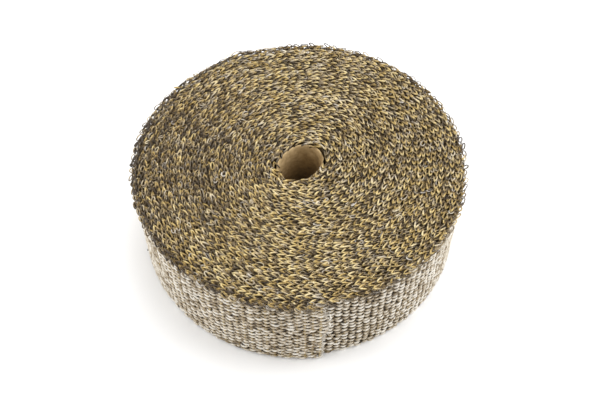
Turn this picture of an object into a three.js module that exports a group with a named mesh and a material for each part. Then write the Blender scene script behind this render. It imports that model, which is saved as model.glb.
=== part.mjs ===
// A roll of woven exhaust heat wrap: a 50 mm basalt tape wound round a cardboard tube.
// Millimetres, +Z up along the roll's axis. The origin is on the axis, at the floor.
import * as THREE from "three";

// Driving dimensions of the cardboard tube
const tubeBoreRadius = 10;
const tubeWall = 1.2;
const tubeRecess = 1.4; // how far the tube's upper rim lies below the tape's upper edge
const tubeRimChamfer = 0.4;

// Driving dimensions of the wound tape
const tapeWidth = 50;
const turnPitch = 2.53;
const turnCount = 27;
const tubeToTapeGap = 0.3;
const turnGrooveDepth = 1.2;
const crestFlat = 1;

// Sides of the turned outlines
const rollSides = 36;
const tubeSides = 36;

// Sizes that follow
const tubeOuterRadius = tubeBoreRadius + tubeWall;
const tubeLength = tapeWidth - tubeRecess;
const tapeBoreRadius = tubeOuterRadius + tubeToTapeGap;
const rollRadius = tapeBoreRadius + turnCount * turnPitch;

// Colours and finishes
const basaltTape = new THREE.MeshStandardMaterial({ color: 0x8f7f5a, roughness: 0.85, metalness: 0 });
const kraftBoard = new THREE.MeshStandardMaterial({ color: 0xa98757, roughness: 0.9, metalness: 0 });

// One point of a turned outline: distance from the axis, height above the floor
function at(radius, height) {
  return new THREE.Vector2(radius, height);
}

// A closed outline turned round the Z axis. It runs anticlockwise, with +radius to the right and +Z up.
function turned(outline, sides) {
  const closed = [...outline, outline[0].clone()];
  const geometry = new THREE.LatheGeometry(closed, sides);
  geometry.rotateX(Math.PI / 2);
  return geometry;
}

// The crests and grooves of one end of the roll, from the bore outwards. Every turn is one crest, and a
// groove parts it from the next. The two turns at the rims have flat crests, which the roll stands on.
function endOfRoll(endHeight, grooveHeight) {
  const points = [];
  for (let turn = 0; turn < turnCount; turn++) {
    const middle = tapeBoreRadius + (turn + 0.5) * turnPitch;
    const atRim = turn === 0 || turn === turnCount - 1;
    if (turn > 0) points.push(at(middle - turnPitch / 2, grooveHeight));
    if (atRim) points.push(at(middle - crestFlat / 2, endHeight), at(middle + crestFlat / 2, endHeight));
    else points.push(at(middle, endHeight));
  }
  return points;
}

// The tape as one turned solid with its bore, its turns showing on both ends
function tapeRoll() {
  const bottom = endOfRoll(0, turnGrooveDepth);
  const top = endOfRoll(tapeWidth, tapeWidth - turnGrooveDepth).reverse();
  const shoulder = turnGrooveDepth / 2;
  const outerWall = [at(rollRadius, shoulder), at(rollRadius, tapeWidth - shoulder)];
  const boreWall = [at(tapeBoreRadius, tapeWidth - shoulder), at(tapeBoreRadius, shoulder)];
  return turned([...bottom, ...outerWall, ...top, ...boreWall], rollSides);
}

// The cardboard tube, a little shorter than the tape is wide, with its cut rims eased
function coreTube() {
  const outline = [
    at(tubeBoreRadius + tubeRimChamfer, 0),
    at(tubeOuterRadius, 0),
    at(tubeOuterRadius, tubeLength),
    at(tubeBoreRadius + tubeRimChamfer, tubeLength),
    at(tubeBoreRadius, tubeLength - tubeRimChamfer),
    at(tubeBoreRadius, tubeRimChamfer),
  ];
  return turned(outline, tubeSides);
}

function named(name, geometry, material) {
  const mesh = new THREE.Mesh(geometry, material);
  mesh.name = name;
  return mesh;
}

const heatWrapRoll = new THREE.Group();
heatWrapRoll.add(named("wound_tape", tapeRoll(), basaltTape));
heatWrapRoll.add(named("core_tube", coreTube(), kraftBoard));

export default heatWrapRoll;
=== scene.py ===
import bpy
import numpy as np
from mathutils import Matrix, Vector


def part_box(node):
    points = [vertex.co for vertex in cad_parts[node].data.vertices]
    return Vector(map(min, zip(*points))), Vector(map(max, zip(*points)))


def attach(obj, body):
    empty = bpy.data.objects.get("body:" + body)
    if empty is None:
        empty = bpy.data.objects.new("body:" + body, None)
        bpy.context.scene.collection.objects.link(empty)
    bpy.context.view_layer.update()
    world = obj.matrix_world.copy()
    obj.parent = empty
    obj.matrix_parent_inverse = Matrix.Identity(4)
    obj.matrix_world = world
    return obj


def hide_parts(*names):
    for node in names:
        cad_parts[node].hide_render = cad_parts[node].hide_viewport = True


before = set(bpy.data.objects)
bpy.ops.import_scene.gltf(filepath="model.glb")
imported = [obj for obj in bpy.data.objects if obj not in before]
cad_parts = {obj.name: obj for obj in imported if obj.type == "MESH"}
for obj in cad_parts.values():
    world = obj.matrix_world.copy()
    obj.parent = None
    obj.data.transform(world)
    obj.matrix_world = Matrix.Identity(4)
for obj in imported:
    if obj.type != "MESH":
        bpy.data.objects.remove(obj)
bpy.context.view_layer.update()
mm = 0.001
chance = np.random.default_rng(41)


# A mesh from whole arrays: points (n, 3), four-cornered faces (f, 4), a uv for each face corner (f, 4, 2)
# and for each point a shade, dark to light, and a warmth, grey to golden. Smooth faces, one material.
def meshPiece(name, points, faces, uvs, shades, warmth, material, nodeName, slotName):
    mesh = bpy.data.meshes.new(name)
    mesh.vertices.add(len(points))
    mesh.vertices.foreach_set("co", points.astype(np.float32).ravel())
    mesh.loops.add(faces.size)
    mesh.loops.foreach_set("vertex_index", faces.astype(np.int32).ravel())
    mesh.polygons.add(len(faces))
    mesh.polygons.foreach_set("loop_start", np.arange(0, faces.size, 4, dtype=np.int32))
    mesh.polygons.foreach_set("use_smooth", np.ones(len(faces), bool))
    mesh.update(calc_edges=True)
    layer = mesh.uv_layers.new(name="yarn")
    layer.data.foreach_set("uv", uvs.astype(np.float32).ravel())
    for label, values in (("shade", shades), ("warmth", warmth)):
        tint = mesh.attributes.new(label, "FLOAT", "POINT")
        tint.data.foreach_set("value", np.broadcast_to(values, len(points)).astype(np.float32))
    mesh.materials.append(material)
    piece = bpy.data.objects.new(name, mesh)
    bpy.context.scene.collection.objects.link(piece)
    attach(piece, "root")
    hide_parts(nodeName)
    print(f"{name}: {len(faces) * 2} triangles")
    return piece


def unit(vectors):
    return vectors / np.maximum(np.linalg.norm(vectors, axis=-1, keepdims=True), 1e-12)


# Yarns: an ellipse carried along each path. A point is path + width cos(v) side + height sin(v) lift, where
# side and lift stand square to the path and lift leans to the given direction. Paths are (yarns, rings, 3).
def yarns(paths, lifts, widths, heights, sides, closed, shades, warmth, start=None):
    count, rings, _ = paths.shape
    if closed:
        along = np.roll(paths, -1, axis=1) - np.roll(paths, 1, axis=1)
    else:
        along = np.gradient(paths, axis=1)
    along = unit(along)
    side = unit(np.cross(lifts, along))
    lift = np.cross(along, side)
    around = np.arange(sides) / sides * 2 * np.pi
    width = np.broadcast_to(widths, (count, rings))[:, :, None, None]
    height = np.broadcast_to(heights, (count, rings))[:, :, None, None]
    ring = (np.cos(around)[:, None] * side[:, :, None] * width
            + np.sin(around)[:, None] * lift[:, :, None] * height)
    points = (paths[:, :, None] + ring).reshape(-1, 3)
    spans = rings if closed else rings - 1
    order = (np.arange(count), np.arange(spans), np.arange(sides))
    yarn, ringNow, sideNow = np.meshgrid(*order, indexing="ij")
    ringNext = (ringNow + 1) % rings
    sideNext = (sideNow + 1) % sides
    corner = lambda ringAt, sideAt: (yarn * rings + ringAt) * sides + sideAt
    faces = np.stack([corner(ringNow, sideNow), corner(ringNow, sideNext),
                      corner(ringNext, sideNext), corner(ringNext, sideNow)], axis=-1).reshape(-1, 4)
    step = np.linalg.norm(np.roll(paths, -1, axis=1) - paths, axis=-1).mean()
    offset = (np.zeros(count) if start is None else start)[yarn]
    uNow = offset + ringNow * step
    uNext = uNow + step
    vNow = sideNow / sides
    vNext = vNow + 1 / sides
    uvs = np.stack([np.stack([uNow, vNow], -1), np.stack([uNow, vNext], -1),
                    np.stack([uNext, vNext], -1), np.stack([uNext, vNow], -1)], axis=-2).reshape(-1, 4, 2)
    if not closed:
        first = (np.arange(count) * rings * sides)[:, None]
        last = first + (rings - 1) * sides
        fans = [[0, k, k + 1, k + 2] for k in range(1, sides - 1, 2)]
        caps = [last + fan for fan in fans] + [first + fan[::-1] for fan in fans]
        faces = np.concatenate([faces] + caps)
        uvs = np.concatenate([uvs, np.zeros((count * len(caps), 4, 2))])
    shape = (count, rings, sides)
    spread = lambda values: np.broadcast_to(np.atleast_2d(values)[:, :, None], shape).reshape(-1)
    return points, faces, uvs, spread(shades), spread(warmth)


# The spiral that the tape is wound in

winding = {
    "pitch": 2.53 * mm,         # one thickness of the loosely woven tape
    "boreGap": 0.3 * mm,        # between the cardboard and the first turn
    "freeEnd": np.radians(-82), # where the outermost turn stops
    "rise": 0.8 * mm,           # how far single turns stand higher than others
    "riseWaves": [(0.5, 2.9, 1), (0.3, 5.3, 2), (0.2, 11.9, 0)],  # share, waves a turn in radians, start
    "pick": 3.5 * mm,           # from one crosswise yarn to the next
    "proud": 0.35 * mm,         # how far the free end stands out of the round solid
    "squash": 1.3 * mm,         # how far the tube and the turns next to it are out of round
    "lay": np.radians(50),      # where they are widest
    "ovalFade": 2.5,            # turns over which that fades outwards
}
# Places where the outline stands out or in: angle, distance, width of the place
dents = [(28, 1.4, 34), (172, 0.8, 18), (135, -0.7, 16), (104, -1.8, 4), (113, 0.9, 4), (93, -1.0, 4)]

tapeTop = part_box("wound_tape")[1]
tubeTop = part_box("core_tube")[1]
firstRadius = tubeTop.x + winding["boreGap"] + winding["pitch"] / 2
lastRadius = tapeTop.x - winding["pitch"] / 2 + winding["proud"]
allTurns = (lastRadius - firstRadius) / winding["pitch"]
tapeWidth = tapeTop.z - winding["rise"] / 2


# The length of n turns is 2 pi (first radius n + pitch n n / 2). This solves it for n.
def turnsAt(length):
    ratio = firstRadius / winding["pitch"]
    return np.sqrt(np.maximum(ratio ** 2 + length / (np.pi * winding["pitch"]), 0)) - ratio


def lengthAt(turns):
    return 2 * np.pi * (firstRadius * turns + winding["pitch"] * turns ** 2 / 2)


# Sum of bells round the outline, height exp((cos(angle - place) - 1) / width squared)
def outOfRound(angle):
    total = np.zeros_like(angle)
    for place, height, width in dents:
        total += height * mm * np.exp((np.cos(angle - np.radians(place)) - 1) / np.radians(width) ** 2)
    return total


# How far the tube and the turns next to it stand out: squash cos(2 (angle - lay))
def oval(angle):
    return winding["squash"] * np.cos(2 * (angle - winding["lay"]))


# How high the edge of the tape stands: a slow sum of sines along the turns, from 0 to the full rise,
# and calmer over the first six turns
def edgeRise(turns):
    wave = sum(share * np.sin(turns * rate + start) for share, rate, start in winding["riseWaves"])
    return winding["rise"] * (0.5 + 0.5 * wave * np.clip(turns / 6, 0.15, 1))


# From a place in the flat tape to a place in the roll: the radius grows by one pitch a turn,
# angle = free end - 2 pi turns left. The outline's dents fade towards the middle with the cube of the
# radius, and the oval of the tube fades outwards with exp(-turns / ovalFade).
def wind(length, across, up):
    turns = turnsAt(length)
    angle = angleAt(length)
    radius = firstRadius + winding["pitch"] * turns
    radius = radius + across + outOfRound(angle) * (radius / lastRadius) ** 3
    radius = radius + oval(angle) * np.exp(-np.maximum(turns, 0) / winding["ovalFade"])
    return np.stack([radius * np.cos(angle), radius * np.sin(angle), up + edgeRise(turns)], axis=-1)


def angleAt(length):
    return winding["freeEnd"] - 2 * np.pi * (allTurns - turnsAt(length))


# A bell round the axis: exp((cos(angle - place) - 1) / width squared), place and width in degrees
def facing(length, place, width):
    return np.exp((np.cos(angleAt(length) - np.radians(place)) - 1) / np.radians(width) ** 2)


def outwards(length):
    angle = angleAt(length)
    return np.stack([np.cos(angle), np.sin(angle), np.zeros_like(angle)], axis=-1)


tapeLength = lengthAt(allTurns)
print(f"tape: {allTurns:.1f} turns, {tapeLength:.2f} m")


# Materials

def newMaterial(name):
    material = bpy.data.materials.new(name)
    material.use_nodes = True
    tree = material.node_tree
    return material, tree, tree.nodes["Principled BSDF"]


def addNode(tree, kind, **values):
    node = tree.nodes.new(kind)
    for key, value in values.items():
        if key in node.inputs:
            node.inputs[key].default_value = value
        else:
            setattr(node, key, value)
    return node


def rampOf(tree, stops):
    node = tree.nodes.new("ShaderNodeValToRGB")
    ramp = node.color_ramp
    while len(ramp.elements) < len(stops):
        ramp.elements.new(0.5)
    for element, (place, colour) in zip(ramp.elements, stops):
        element.position = place
        element.color = (*colour, 1)
    return node


# Yarn: colour from the shade of each yarn and from long fibres along it, which also make the bump.
# The warmth of each point mixes the grey colours with the golden ones.
def yarnMaterial(name, grey, golden, roughness, sheen, fibreDepth):
    material, tree, shader = newMaterial(name)
    link = tree.links.new
    shade = addNode(tree, "ShaderNodeAttribute", attribute_name="shade")
    warmth = addNode(tree, "ShaderNodeAttribute", attribute_name="warmth")
    place = addNode(tree, "ShaderNodeUVMap", uv_map="yarn")
    stretch = addNode(tree, "ShaderNodeMapping", Scale=(700, 9, 1), Rotation=(0, 0, 0))
    link(place.outputs["UV"], stretch.inputs["Vector"])
    fibres = addNode(tree, "ShaderNodeTexNoise", Scale=1.0, Detail=4.0, Roughness=0.65)
    link(stretch.outputs["Vector"], fibres.inputs["Vector"])
    blend = addNode(tree, "ShaderNodeMath", operation="MULTIPLY_ADD")
    blend.inputs[1].default_value = 1.85
    link(fibres.outputs["Fac"], blend.inputs[0])
    link(shade.outputs["Fac"], blend.inputs[2])
    mix = addNode(tree, "ShaderNodeMix", data_type="RGBA")
    for colours, socket in ((grey, 6), (golden, 7)):
        ramp = rampOf(tree, colours)
        link(blend.outputs["Value"], ramp.inputs["Fac"])
        link(ramp.outputs["Color"], mix.inputs[socket])
    link(warmth.outputs["Fac"], mix.inputs["Factor"])
    link(mix.outputs[2], shader.inputs["Base Color"])
    bump = addNode(tree, "ShaderNodeBump", Strength=0.8, Distance=fibreDepth)
    link(fibres.outputs["Fac"], bump.inputs["Height"])
    link(bump.outputs["Normal"], shader.inputs["Normal"])
    shader.inputs["Roughness"].default_value = roughness
    shader.inputs["Sheen Weight"].default_value = sheen
    return material


greyFibre = [(0.3, (0.035, 0.024, 0.012)), (0.5, (0.13, 0.1, 0.062)), (0.7, (0.33, 0.29, 0.24)),
             (0.86, (0.46, 0.42, 0.37)), (1.0, (0.57, 0.54, 0.5))]
goldFibre = [(0.3, (0.03, 0.015, 0.003)), (0.5, (0.14, 0.085, 0.02)), (0.7, (0.42, 0.28, 0.078)),
             (0.86, (0.59, 0.44, 0.165)), (1.0, (0.71, 0.59, 0.32))]
paleFibre = [(0.3, (0.045, 0.024, 0.006)), (0.55, (0.24, 0.165, 0.072)), (0.78, (0.54, 0.455, 0.33)),
             (1.0, (0.77, 0.72, 0.63))]
shadowFibre = [(0.2, (0.016, 0.009, 0.003)), (1.0, (0.065, 0.042, 0.014))]
goldYarn = yarnMaterial("gold_basalt_yarn", greyFibre, goldFibre, 0.36, 0.0, 0.12 * mm)
paleYarn = yarnMaterial("pale_basalt_yarn", paleFibre, paleFibre, 0.5, 0.2, 0.12 * mm)
darkYarn = yarnMaterial("shaded_basalt_yarn", shadowFibre, shadowFibre, 0.8, 0.0, 0.05 * mm)


boardColours = [(0.0, (0.07, 0.04, 0.016)), (0.5, (0.34, 0.225, 0.095)), (1.0, (0.66, 0.49, 0.26))]


# Kraft board: mottled with fine noise, and darker down in the bore and on its right side, which is painted
# shade
def cardboardMaterial():
    material, tree, shader = newMaterial("kraft_cardboard")
    link = tree.links.new
    place = addNode(tree, "ShaderNodeTexCoord")
    mottle = addNode(tree, "ShaderNodeTexNoise", Scale=420.0, Detail=6.0, Roughness=0.65)
    link(place.outputs["Object"], mottle.inputs["Vector"])
    # Painted shade: object z and x give a level that darkens the board down the bore and towards its right
    # side
    parts = addNode(tree, "ShaderNodeVectorMath", operation="DOT_PRODUCT")
    link(place.outputs["Object"], parts.inputs[0])
    parts.inputs[1].default_value = (-0.7, 0.2, 1)
    paintedShade = addNode(tree, "ShaderNodeMapRange")
    limits = (("From Min", 0.016), ("From Max", 0.049), ("To Min", -0.42), ("To Max", 0.32))
    for socket, value in limits:
        paintedShade.inputs[socket].default_value = value
    link(parts.outputs["Value"], paintedShade.inputs["Value"])
    blend = addNode(tree, "ShaderNodeMath", operation="MULTIPLY_ADD")
    blend.inputs[1].default_value = 0.95
    link(mottle.outputs["Fac"], blend.inputs[0])
    link(paintedShade.outputs["Result"], blend.inputs[2])
    ramp = rampOf(tree, boardColours)
    link(blend.outputs["Value"], ramp.inputs["Fac"])
    link(ramp.outputs["Color"], shader.inputs["Base Color"])
    bump = addNode(tree, "ShaderNodeBump", Strength=0.4, Distance=0.06 * mm)
    link(mottle.outputs["Fac"], bump.inputs["Height"])
    link(bump.outputs["Normal"], shader.inputs["Normal"])
    shader.inputs["Roughness"].default_value = 0.85
    return material


kraft = cardboardMaterial()

# Edge stitches on the upper end

upperLoops = {
    "spacing": 4.05 * mm,       # from one stitch to the next
    "long": 2.5 * mm,           # half the length of a stitch
    "wide": 1.35 * mm,          # half its width
    "lean": np.radians(5),      # noses up
    "dive": 1.6 * mm,           # how far the ends of the legs go down into the tape
    "jitter": 0.22 * mm,        # how far stitches lie off their places
    "yarn": 0.34 * mm,          # half the thickness of the yarn
    "rings": 9,
    "sides": 6,
    "tuck": 0.0,                # how far the whole edge lies inwards
    "overTube": 0.5 * mm,       # how far the first turn leans in over the tube's rim
    "overFront": 0.5 * mm,      # how much further it leans on the right in front
    "clearBack": 0.9 * mm,      # how much less it leans at the back
    "leanFade": 1.6,            # turns over which that fades outwards
    "before": 0.5,              # turns of loose stitches that lie over the rim before the first turn
    "slackAndShade": 0.2,               # how much narrower the looser stitches on the left are, and how much darker by painted shade
    "slackAt": (176, 33),       # their place and width round the axis, in degrees
    "rim": 1.0,                 # 1 where the stitches of the last turn are thicker and darker
    "flare": 0.06,              # how much wider they are, and how far out in mm
}

# Shades are added to the noise of the fibres: darker below 0, lighter above
stitchTone = {
    "base": -0.41,
    "noseHighlight": 0.39,               # lighter at the nose: a painted highlight
    "legEndShade": 0.25,               # darker at the ends of the legs: painted shade where they go down into the tape
    "rim": 0.3,                 # darker on the last turn
    "sides": 0.05,              # painted shade on the left and right, painted light in front and behind
    "warm": 0.28,               # how golden the legs are
    # golden at the nose, the colour of the painted highlight
    "noseHighlightWarmth": 1.1,
    "warmFront": 0.2,
}


# How far the first turns lean in over the tube: most exp(-turns / leanFade), where most is larger on the
# right in front and smaller at the back
def leanIn(length, look):
    most = look["overTube"] + look["overFront"] * facing(length, -50, 50)
    most = most - look["clearBack"] * facing(length, 80, 50)
    return most * np.exp(-np.maximum(turnsAt(length), 0) / look["leanFade"])


# Knitted edge: chain stitches, each a hairpin x = long (2 |v|^1.3 - 1), y = wide v (1.2 - 0.2 v v) for v
# from -1 to 1, its nose raised by the lean and its legs going down with the sixth power of v. The height
# flips on the lower edge.
def loopChain(name, first, last, look, height, flip):
    number = np.arange(first, last)
    count = len(number)
    place = number[:, None] * look["spacing"]
    vary = lambda spread: chance.normal(0, spread, (count, 1))
    v = np.linspace(-1, 1, look["rings"])[None, :]
    inmost = np.exp(-(turnsAt(place) / look["leanFade"]) ** 2)
    rim = np.exp(-((allTurns - turnsAt(place)) / 0.9) ** 6) * look["rim"]
    flare = rim * look["flare"]
    slackAndShade = facing(place, *look["slackAt"]) * np.linspace(0.5, 1, count)[:, None] * look["slackAndShade"]
    wide = look["wide"] * chance.uniform(0.8, 1.15, (count, 1)) * (1 + 0.15 * inmost - slackAndShade + flare)
    long = look["long"] * chance.uniform(0.88, 1.08, (count, 1))
    x = long * (2 * np.abs(v) ** 1.3 - 1)
    y = wide * v * (1.2 - 0.2 * v ** 2)
    z = -(x + long) * np.tan(look["lean"] + vary(0.08)) - look["dive"] * v ** 6 * (1 - 0.6 * inmost)
    z = z + y * (vary(0.28) + 0.2 * np.sin(turnsAt(place) * 1.9) - 0.15 - 0.4 * flare)
    turn = vary(0.1) + vary(0.3) * inmost
    x, y = x * np.cos(turn) - y * np.sin(turn), x * np.sin(turn) + y * np.cos(turn)
    length = place + x + vary(look["jitter"])
    across = y + vary(look["jitter"]) - look["tuck"] + flare * mm
    across = across - leanIn(place, look)
    up = height + (z - look["yarn"] - np.abs(vary(0.16 * mm))) * flip
    thick = look["yarn"] * chance.uniform(0.8, 1.15, (count, 1)) * (1 + 0.3 * rim + 0.25 * inmost)
    thick = thick * (1.3 - 0.4 * np.abs(v))
    paths = wind(length, across, np.maximum(up, thick))
    noseHighlight = (1 - np.abs(v)) ** 1.5
    tone = stitchTone
    # Painted light in the shades: one leg a random amount lighter than the other, as if lit from one side;
    # the nose lighter as a painted highlight and the leg ends darker as painted shade
    shades = vary(0.1) + vary(0.1) * np.sign(v) + tone["base"] + tone["noseHighlight"] * noseHighlight - tone["legEndShade"] * v ** 6
    # the stitches on the left are darkened by painted shade
    shades = np.clip(shades - slackAndShade, -0.8, 0.8)
    # Painted shade on the left and right, painted light in front and behind; darker on the last turn
    shades = shades + 0.02 - tone["sides"] * np.cos(2 * angleAt(place)) - tone["rim"] * rim
    # golden towards the nose: the colour of the painted highlight
    warmth = vary(0.25) + tone["warm"] + tone["noseHighlightWarmth"] * noseHighlight
    warmth = np.clip(warmth + tone["warmFront"] * facing(place, -90, 60), 0, 1)
    tubes = yarns(paths, outwards(length), thick, thick, look["sides"], False, shades, warmth,
                  chance.uniform(0, 1, count))
    return meshPiece(name, *tubes, goldYarn, "wound_tape", "woven_tape")


loopCount = int(tapeLength / upperLoops["spacing"])
half = int(loopCount * 0.5)
inside = int(lengthAt(-upperLoops["before"]) / upperLoops["spacing"])
loopChain("upper_edge_inner", inside, half, upperLoops, tapeWidth, 1)
loopChain("upper_edge_outer", half, loopCount, upperLoops, tapeWidth, 1)

turning = {
    "long": 1.8 * mm,           # half the length of a ring
    "wide": 0.8 * mm,
    "below": 1.0 * mm,          # below the tape's edge
    "yarn": 0.3 * mm,
    "turned": 0.25,             # how far the rings are turned off the tape, in radians
    "rings": 9,
    "sides": 4,
}
upwards = np.array([0, 0, 1.0])


# Turning loops of the crosswise yarns, one between each two stitches: rings x = long cos t, y = wide sin t
def turningLoops():
    number = np.arange(inside, loopCount)
    vary = lambda spread: chance.normal(0, spread, (len(number), 1))
    place = (number[:, None] + 0.5) * upperLoops["spacing"]
    t = np.arange(turning["rings"])[None, :] / turning["rings"] * 2 * np.pi
    x = turning["long"] * (1 + vary(0.12)) * np.cos(t)
    y = turning["wide"] * (1 + vary(0.15)) * np.sin(t)
    turn = turning["turned"] + vary(0.25)
    length = place + x * np.cos(turn) - y * np.sin(turn)
    across = x * np.sin(turn) + y * np.cos(turn) + vary(0.3 * mm) - leanIn(place, upperLoops)
    across = across + winding["pitch"] / 2
    up = tapeWidth - turning["below"] + y * vary(0.35) + x * vary(0.25) + vary(0.2 * mm)
    thick = turning["yarn"] * (1 + vary(0.15))
    shades = np.clip(vary(0.2) - 0.4 - 0.1 * np.cos(t), -0.8, 0.5)
    warmth = np.clip(vary(0.3) + 0.5, 0, 1)
    tubes = yarns(wind(length, across, up), upwards, thick, thick, turning["sides"], True, shades, warmth)
    return meshPiece("turning_loops", *tubes, goldYarn, "wound_tape", "woven_tape")


turningLoops()

lockYarn = {
    "perStitch": 2,             # waves from side to side
    "reach": 0.8 * mm,
    "below": 0.9 * mm,
    "yarn": 0.22 * mm,
    "loose": 0.25 * mm,         # how far it lies off its place
    "sides": 4,
}


# A thin yarn that waves along the stitches, y = reach cos(pi n)
def lockingYarn():
    steps = loopCount * lockYarn["perStitch"]
    number = np.arange(steps)
    odd = np.where(number % 2, 1.0, -1.0)
    length = number * upperLoops["spacing"] / lockYarn["perStitch"]
    length = length + chance.normal(0, lockYarn["loose"], steps)
    length = np.clip(length, 0, tapeLength)
    across = odd * lockYarn["reach"] * chance.uniform(0.5, 1.3, steps) - leanIn(length, upperLoops)
    up = tapeWidth - lockYarn["below"] + chance.normal(0, lockYarn["loose"], steps)
    paths = wind(length, across, up)[None]
    # darker than the stitches: painted shade in the gaps where it lies
    shades = chance.normal(-0.3, 0.2, (1, steps))
    thick = lockYarn["yarn"]
    tubes = yarns(paths, upwards, thick, thick, lockYarn["sides"], False, shades, 0.6)
    return meshPiece("locking_yarn", *tubes, goldYarn, "wound_tape", "woven_tape")


lockingYarn()

strays = {"count": 70, "long": 3.5 * mm, "yarn": 0.05 * mm, "rings": 6, "sides": 4}


# Broken filaments that stand out of the upper edge: each an arc, along = long s,
# up = long (0.5 s (1 - s) + 0.12 s), turned any way about its root
def strayFibres():
    count = strays["count"]
    vary = lambda spread: chance.normal(0, spread, (count, 1))
    s = np.linspace(0, 1, strays["rings"])[None, :]
    root = chance.uniform(0.1, 0.995, (count, 1)) * tapeLength
    long = strays["long"] * chance.uniform(0.5, 1.3, (count, 1))
    way = chance.uniform(0, 2 * np.pi, (count, 1))
    reach = long * s + vary(0.3 * mm) * s ** 2
    up = tapeWidth - 0.6 * mm + long * (0.5 * s * (1 - s) + 0.12 * s) + vary(0.2 * mm)
    paths = wind(root + reach * np.cos(way), reach * np.sin(way) * 0.6, up)
    shades = chance.uniform(0, 0.5, (count, 1))
    thick = strays["yarn"]
    tubes = yarns(paths, upwards, thick, thick, strays["sides"], False, shades, 0.3)
    return meshPiece("stray_filaments", *tubes, goldYarn, "wound_tape", "woven_tape")


strayFibres()

# Edge stitches on the lower end, plainer than the upper ones

lowerLoops = dict(
    upperLoops,
    spacing=3.7 * mm,
    long=2.4 * mm,
    wide=0.75 * mm,
    yarn=0.5 * mm,
    rings=7,
    sides=4,
    tuck=0.5 * mm,
    overTube=0,
    overFront=0,
    slackAndShade=0,
    rim=0,
    flare=0,
)
lowerCount = int(tapeLength / lowerLoops["spacing"])
loopChain("lower_edge", 1, lowerCount, lowerLoops, 0, -1)

# The body of the tape between its edges

body = {
    "halfThick": 1.2 * mm,
    "inset": 1.6 * mm,          # from the tape's edge to the strip's
    "shoulder": 0.7 * mm,       # height of its rounded edge
    "crown": 0.7,               # width of that edge, as a share of the thickness
    "sway": 0.2 * mm,
    "stopAt": 1.03,             # turns before the free end, where the woven turn takes over
}


# A rounded strip carried along the spiral, which sways from side to side with each crosswise yarn:
# across = section + sway sin(pi length / pick)
def tapeBody():
    turnsEnd = allTurns - body["stopAt"]
    steps = int(lengthAt(turnsEnd) / winding["pick"]) * 2
    length = np.linspace(0, lengthAt(turnsEnd), steps)
    thick, inset, shoulder = body["halfThick"], body["inset"], body["shoulder"]
    low, high, crown = inset, tapeWidth - inset, thick * body["crown"]
    section = np.array([(thick, low + shoulder), (thick, high - shoulder), (crown, high), (-crown, high),
                        (-thick, high - shoulder), (-thick, low + shoulder), (-crown, low), (crown, low)])
    sway = body["sway"] * np.sin(length / winding["pick"] * np.pi)
    across = section[:, 0] + sway[:, None]
    up = np.broadcast_to(section[:, 1], across.shape)
    points = wind(length[:, None] + np.zeros_like(across), across, up)
    rings, sides = across.shape
    ring, side = np.meshgrid(np.arange(rings - 1), np.arange(sides), indexing="ij")
    nextSide = (side + 1) % sides
    faces = np.stack([ring * sides + side, (ring + 1) * sides + side,
                      (ring + 1) * sides + nextSide, ring * sides + nextSide], -1).reshape(-1, 4)
    caps = np.array([[0, 1, 2, 3], [0, 3, 4, 7], [4, 5, 6, 7]])
    faces = np.concatenate([faces, caps, caps[:, ::-1] + (rings - 1) * sides])
    uvs = np.stack([length[faces // sides], (faces % sides) / sides], -1)
    shades = np.full(rings * sides, 0.3)
    points = points.reshape(-1, 3)
    return meshPiece("tape_body", points, faces, uvs, shades, 0.5, darkYarn, "wound_tape", "woven_tape")


tapeBody()

# The woven outer turn

weave = {
    "rows": 34,
    "low": 0.8 * mm,            # the lowest row above the floor
    "high": 2.2 * mm,           # the highest row below the edge
    "swing": 0.5 * mm,          # out and in of the lengthwise yarns
    "ribSwing": 0.3 * mm,       # how much further they swing on the right flank
    "ribReach": 110 * mm,       # how far along the tape that flank goes
    "overHeight": 0.8 * mm,     # how far a yarn bulges where it lies outside
    "underHeight": 0.26 * mm,   # and where it lies inside
    "thick": 0.4 * mm,
    "endBow": 3.0 * mm,         # how far the free end bows out above its middle
    "bowAt": (0.66, 0.2, 0.4),  # where that is most, how wide it is, how far the rest stays back
    "perPick": 5,               # steps of a path from one crosswise yarn to the next
    "sides": 6,
    "lap": 0.05,                # turns that go on under the free end
}
weaveStart = lengthAt(allTurns - 1 - weave["lap"])


def rowHeight(rows):
    pitch = (tapeWidth - weave["low"] - weave["high"]) / (weave["rows"] - 1)
    return weave["low"] + pitch * rows


# How far each row reaches past the free end: bow (exp(-((row / rows - place) / width) squared) - back)
def endBow(rows):
    place, width, back = weave["bowAt"]
    return weave["endBow"] * (np.exp(-((rows / weave["rows"] - place) / width) ** 2) - back)


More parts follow.
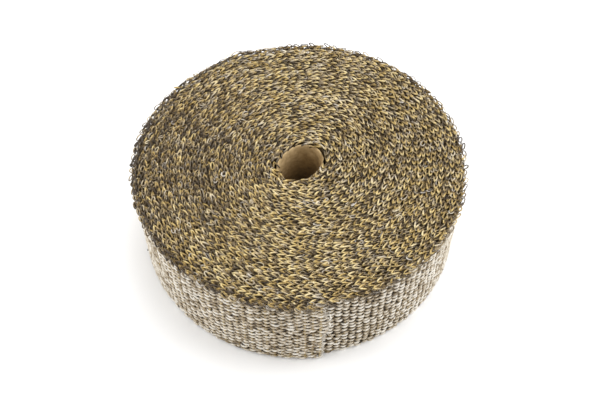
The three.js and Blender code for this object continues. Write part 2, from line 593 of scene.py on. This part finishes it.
# Lengthwise yarns of the last turn. A yarn swings out and in over the crosswise ones,
# across = swing c (1.35 - 0.35 c c) with c = cos(pi picks + pi row), and bulges where it lies outside.
def warpRows(name, firstRow, lastRow):
    rows = np.arange(firstRow, lastRow)[:, None]
    steps = int((tapeLength - weaveStart) / winding["pick"] * weave["perPick"])
    length = np.linspace(weaveStart, tapeLength, steps)[None, :]
    drift = chance.normal(0, 0.09, (len(rows), 1)) + 0.1 * np.sin(length * 160 + rows * 1.3)
    wave = np.cos(np.pi * (length / winding["pick"] + rows + drift))
    wave = wave * (1.35 - 0.35 * wave ** 2)
    ends = chance.normal(0, 0.5 * mm, (len(rows), 1))
    ribs = np.exp(-((length - weaveStart) / weave["ribReach"]) ** 4)
    length = length + (ends + endBow(rows)) * np.linspace(0, 1, steps) ** 24
    across = (weave["swing"] + weave["ribSwing"] * ribs) * wave
    up = rowHeight(rows) + 0.12 * mm * np.sin(length * 90 + rows * 2.1)
    up = up + 0.16 * mm * np.sin(length * 410 + rows * rows * 1.7) + chance.normal(0, 0.06 * mm, up.shape)
    outer = 0.5 + 0.5 * wave
    tall = weave["underHeight"] + (weave["overHeight"] - weave["underHeight"]) * outer
    tall = tall * (1 + 0.16 * np.sin(length * 530 + rows * 3.3))
    floats = np.round(length / winding["pick"]).astype(int)
    floatShade = chance.normal(0.02, 0.15, (len(rows), floats.max() + 2))
    shades = np.take_along_axis(floatShade, floats, axis=1) - 0.07 * (1 - ribs)
    tall = tall * np.take_along_axis(chance.normal(1, 0.14, floatShade.shape), floats, axis=1)
    patches = 0.08 * np.sin(length * 210 + rows * 0.35) * np.sin(length * 97 - rows * 0.21 + 1)
    # Painted shade: darker where a yarn dips inside between the floats, and more so between the ribs of the
    # right flank
    shades = np.clip(shades + patches - (0.55 + 0.35 * ribs) * (1 - outer) ** (1 - 0.3 * ribs), -0.9, 0.6)
    tubes = yarns(wind(length, across, up), outwards(length), tall, weave["thick"], weave["sides"], False,
                  shades, 0.5, chance.uniform(0, 1, len(rows)))
    return meshPiece(name, *tubes, paleYarn, "wound_tape", "woven_tape")


fray = {"perRow": 4, "long": 1.8 * mm, "back": 0.6 * mm, "yarn": 0.09 * mm, "rings": 5, "sides": 4}


# Frayed free end: fine filaments that leave each row, up and across spreading with the square of the way
def frayedEnd():
    rows = np.repeat(np.arange(weave["rows"]), fray["perRow"])[:, None]
    vary = lambda spread: chance.normal(0, spread, rows.shape)
    s = np.linspace(0, 1, fray["rings"])[None, :]
    reach = fray["long"] * chance.uniform(0.4, 1.2, rows.shape) * s
    length = tapeLength - fray["back"] + endBow(rows) + reach
    across = 0.2 * mm + vary(0.25 * mm) + (vary(0.4 * mm) + 0.3 * mm) * s ** 2
    up = np.maximum(rowHeight(rows) + vary(0.25 * mm) + vary(1.1 * mm) * s ** 2, fray["yarn"])
    shades = chance.uniform(0, 0.5, rows.shape)
    thick = fray["yarn"]
    paths = wind(length, across, up)
    tubes = yarns(paths, outwards(length), thick, thick, fray["sides"], False, shades, 0.5)
    return meshPiece("frayed_end", *tubes, paleYarn, "wound_tape", "woven_tape")


frayedEnd()

loose = {
    "low": [36 * mm, 30.5 * mm],
    "long": [6.5 * mm, 4 * mm],
    "past": 1.6 * mm,           # how far they lie past the free end
    "yarn": 0.36 * mm,
    "rings": 9,
    "sides": 6,
}


# Two pieces of crosswise yarn that have come loose at the free end, bowed with sin(pi s)
def looseYarns():
    s = np.linspace(0, 1, loose["rings"])[None, :]
    low, long = [np.array(loose[key])[:, None] for key in ("low", "long")]
    length = tapeLength + loose["past"] + 0.7 * mm * np.sin(np.pi * s) + 0 * low
    paths = wind(length, 0.5 * mm + 0.5 * mm * np.sin(np.pi * s) + 0 * low, low + long * s)
    thick = loose["yarn"] * (0.35 + 0.65 * np.sin(np.pi * s) ** 0.5) + 0 * low
    tubes = yarns(paths, outwards(length), thick, thick, loose["sides"], False, 0.35, 0.5)
    return meshPiece("loose_end_yarns", *tubes, paleYarn, "wound_tape", "woven_tape")


looseYarns()

middleRow = weave["rows"] // 2
warpRows("wall_yarns_lower", 0, middleRow)
warpRows("wall_yarns_upper", middleRow, weave["rows"])

crosswise = {"inwards": 0.3 * mm, "wide": 0.7 * mm, "thick": 0.35 * mm, "sides": 4}


# Crosswise yarns of the last turn, which lie inside where a lengthwise yarn passes over them:
# across = -inwards cos(pi (number + row))
def weftColumns():
    first = int(np.ceil(weaveStart / winding["pick"]))
    number = np.arange(first, int(tapeLength / winding["pick"]) + 1)[:, None]
    row = np.linspace(-0.3, weave["rows"] - 0.7, weave["rows"] * 2)[None, :]
    up = rowHeight(row) + 0 * number
    across = -crosswise["inwards"] * np.cos(np.pi * (number + row))
    length = number * winding["pick"] + 0 * row
    # dark: painted shade in the recesses behind the lengthwise yarns
    shades = chance.uniform(-0.4, -0.1, (len(number), 1))
    tubes = yarns(wind(length, across, up), outwards(length), crosswise["wide"], crosswise["thick"],
                  crosswise["sides"], False, shades, 0.9)
    return meshPiece("wall_crosswise_yarns", *tubes, goldYarn, "wound_tape", "woven_tape")


weftColumns()
print("woven outer turn done")

# The cardboard tube

board = {
    "steps": 96,                # round the tube
    "levels": 40,               # down the bore
    "wall": 0.8 * mm,
    "ease": 0.3 * mm,           # of the rims
    "seamPitch": 46 * mm,       # one turn of the paper strip
    "seamDepth": 0.12 * mm,
    "seamWidth": 0.012,         # in turns
    "tearAt": np.radians(17),
    "tearWidth": np.radians(9),
    "tearLength": 3 * mm,
    "tearDepth": 0.7 * mm,
}


# A closed outline turned round the axis: radius and height of each outline point. A helical seam is
# pressed into the bore where (angle / 2 pi - height / seam pitch) is near a whole number. The tube is a
# little oval, and its bore flares out at a torn place on the upper rim.
def cardboardTube():
    outer, top = tubeTop.x, tubeTop.z
    inner = outer - board["wall"]
    ease = board["ease"]
    walls = np.linspace(0.02, 0.98, board["levels"])
    bore = np.full(board["levels"], inner)
    radii = np.concatenate([[outer, outer, outer, outer - ease, inner + ease], bore, [inner + ease]])
    heights = np.concatenate([[0, top * 0.5, top - ease, top, top], top * walls[::-1], [0]])
    angle = np.arange(board["steps"]) / board["steps"] * 2 * np.pi
    radius = np.broadcast_to(radii[None, :], (board["steps"], len(radii))).copy()
    height = np.broadcast_to(heights[None, :], radius.shape).copy()
    turn = angle[:, None] / (2 * np.pi) - height / board["seamPitch"]
    nearSeam = np.exp(-(((turn + 0.5) % 1 - 0.5) / board["seamWidth"]) ** 2)
    inBore = radius < inner + 0.1 * mm
    radius += board["seamDepth"] * nearSeam * inBore
    nearTear = np.exp((np.cos(angle - board["tearAt"]) - 1) / board["tearWidth"] ** 2)[:, None]
    nearTop = np.exp(-((top - height) / board["tearLength"]) ** 2)
    radius += board["tearDepth"] * nearTear * nearTop * (radius < inner + ease + 0.2 * mm)
    height -= board["tearDepth"] * nearTear * nearTop
    radius += oval(angle)[:, None]
    points = np.stack([radius * np.cos(angle)[:, None], radius * np.sin(angle)[:, None], height], -1)
    rings, sides = radius.shape
    ring, side = np.meshgrid(np.arange(rings), np.arange(sides), indexing="ij")
    nextRing, nextSide = (ring + 1) % rings, (side + 1) % sides
    faces = np.stack([ring * sides + side, nextRing * sides + side,
                      nextRing * sides + nextSide, ring * sides + nextSide], -1).reshape(-1, 4)
    uvs = np.zeros((len(faces), 4, 2))
    points = points.reshape(-1, 3)
    return meshPiece("cardboard_tube", points, faces, uvs, 0.0, 0.0, kraft, "core_tube", "kraft_board")


cardboardTube()

# Floor, light and camera

studio = {
    "elevation": np.radians(54.4),
    "distance": 5.2,            # in radii of the roll
    "aim": -0.286,              # in radii, towards the camera from the axis
    "lens": 53.8,
    "floorReach": 6.0,
    "floorWhite": 0.93,
    "sky": (1.0, 1.0, 1.0),
    "skyStrength": 0.85,
    # name, place, side of the square lamp in metres, watts
    "lamps": [("soft_left", (-1.1, 0.1, 0.75), 0.9, 7), ("soft_right", (1.1, 0.1, 0.75), 0.9, 6.5),
              ("soft_top", (0.3, 0.35, 1.3), 1.0, 11)],
}


# A plain white floor at height 0
def makeFloor():
    reach = studio["floorReach"]
    mesh = bpy.data.meshes.new("floor")
    mesh.from_pydata([(-reach, -reach, 0), (reach, -reach, 0), (reach, reach, 0), (-reach, reach, 0)], [],
                     [(0, 1, 2, 3)])
    material, tree, shader = newMaterial("white_sweep")
    shader.inputs["Base Color"].default_value = (*[studio["floorWhite"]] * 3, 1)
    shader.inputs["Roughness"].default_value = 0.7
    mesh.materials.append(material)
    floor = bpy.data.objects.new("floor", mesh)
    bpy.context.scene.collection.objects.link(floor)


# A square lamp that looks at the middle of the roll
def areaLight(name, place, size, power):
    data = bpy.data.lights.new(name, "AREA")
    data.shape = "RECTANGLE"
    data.size, data.size_y = size, size
    data.energy = power
    light = bpy.data.objects.new(name, data)
    light.location = place
    light.rotation_euler = (Vector((0, 0, 0.03)) - Vector(place)).to_track_quat("-Z", "Y").to_euler()
    bpy.context.scene.collection.objects.link(light)


def lightStudio():
    world = bpy.data.worlds.new("studio")
    bpy.context.scene.world = world
    world.use_nodes = True
    background = world.node_tree.nodes["Background"]
    background.inputs["Color"].default_value = (*studio["sky"], 1)
    background.inputs["Strength"].default_value = studio["skyStrength"]
    for name, place, size, power in studio["lamps"]:
        areaLight(name, place, size, power)


# The camera looks down by the elevation, from distance radii, at a point a little in front of the axis
def placeCamera():
    radius, top = tapeTop.x, tapeTop.z
    target = Vector((0, studio["aim"] * radius, top))
    back = Vector((0, -np.cos(studio["elevation"]), np.sin(studio["elevation"])))
    data = bpy.data.cameras.new("camera")
    data.lens = studio["lens"]
    data.sensor_width = 36
    data.clip_start = 0.01
    camera = bpy.data.objects.new("camera", data)
    camera.location = target + back * studio["distance"] * radius
    camera.rotation_euler = (-back).to_track_quat("-Z", "Y").to_euler()
    bpy.context.scene.collection.objects.link(camera)
    bpy.context.scene.camera = camera


makeFloor()
lightStudio()
placeCamera()
bpy.context.scene.view_settings.view_transform = "Standard"
